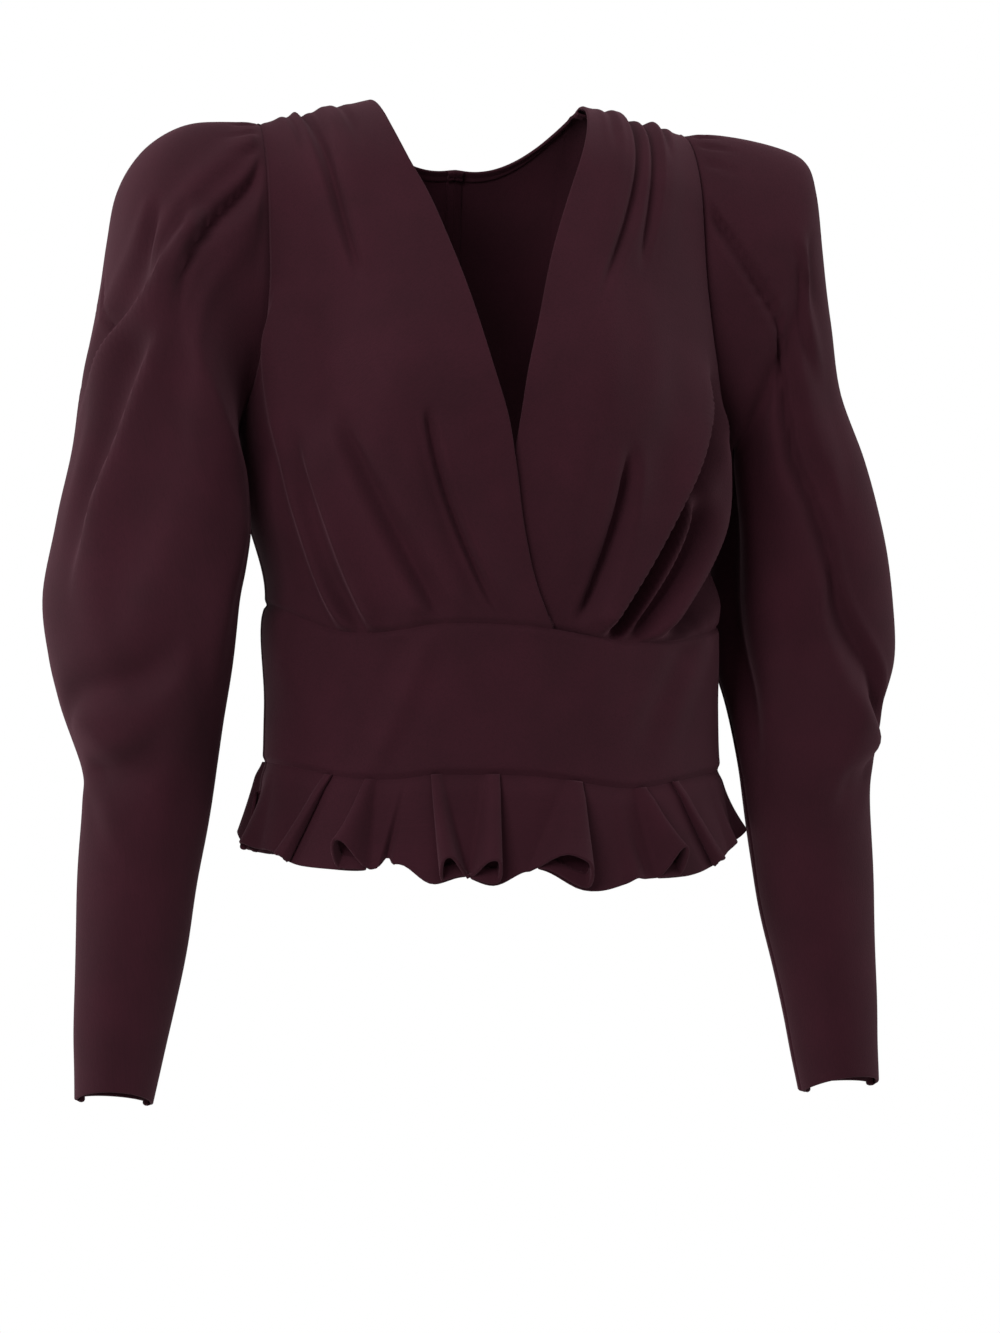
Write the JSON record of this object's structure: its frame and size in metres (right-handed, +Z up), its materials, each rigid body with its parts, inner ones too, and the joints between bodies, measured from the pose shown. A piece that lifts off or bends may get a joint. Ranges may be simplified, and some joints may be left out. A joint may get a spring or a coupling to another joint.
{
  "type": "ruched v-neck top",
  "caption": "Cropped wrap-front top with a deep v neck, gathered bust, smooth waist band, pleated flounce and long puffed sleeves.",
  "frame": {"origin": "the middle of the base of the neck, level with the shoulder seams, where the wearer holds the garment up", "axes": "+Z up, -Y out of the front, +X to the wearer's left"},
  "size_m": [0.5316, 0.2271, 0.613],
  "materials": {
    "crepe": "matt crepe"
  },
  "bodies": {
    "root": {"front_right": "crepe", "front_left": "crepe", "back_right": "crepe", "back_left": "crepe", "band_front": "crepe", "band_back_right": "crepe", "band_back_left": "crepe", "flounce_front": "crepe", "flounce_back_right": "crepe", "flounce_back_left": "crepe", "sleeve_right_top": "crepe", "sleeve_right_under": "crepe", "sleeve_left_top": "crepe", "sleeve_left_under": "crepe"}
  },
  "joints": []
}
